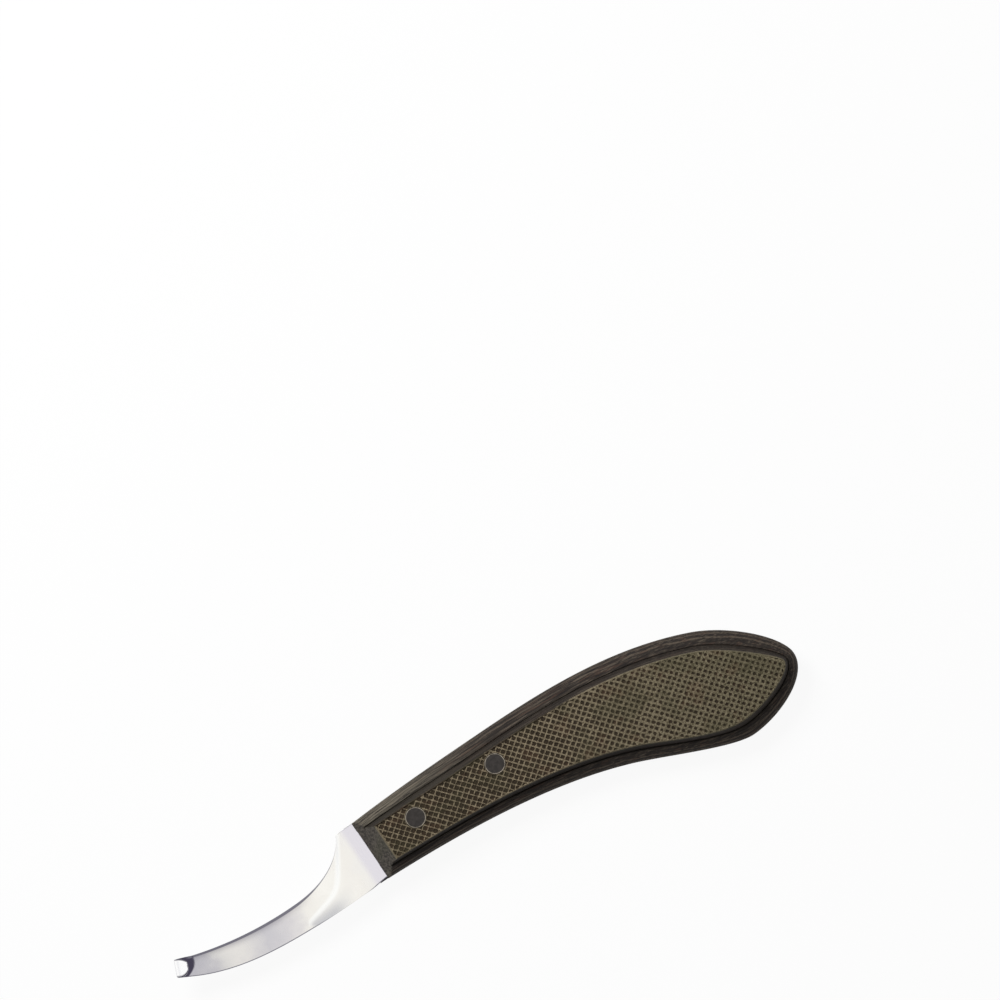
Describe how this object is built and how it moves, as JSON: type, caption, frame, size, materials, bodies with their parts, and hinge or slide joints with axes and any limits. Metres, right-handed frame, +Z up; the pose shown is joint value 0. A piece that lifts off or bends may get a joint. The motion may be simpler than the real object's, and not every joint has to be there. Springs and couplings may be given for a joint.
{
  "type": "hoof knife",
  "caption": "Hoof knife: narrow curved blade ending in a tight curled hook, in a curved riveted handle with raised checkered panels.",
  "frame": {"origin": "under the middle of the knife's box, on the surface that it lies on", "axes": "+X along the tang from the hook to the butt, +Y toward the cutting edge and the back of the handle, +Z up, the way the hook curls"},
  "size_m": [0.21, 0.0472, 0.0174],
  "materials": {
    "blade_steel": "satin ground and polished stainless steel",
    "handle_laminate": "dyed laminated wood, checkered panel",
    "rivet_steel": "darkened, ground flush"
  },
  "bodies": {
    "root": {"blade": "blade_steel", "top_scale": "handle_laminate", "bottom_scale": "handle_laminate", "front_rivet_male": "rivet_steel", "front_rivet_female": "rivet_steel", "rear_rivet_male": "rivet_steel", "rear_rivet_female": "rivet_steel"}
  },
  "joints": []
}
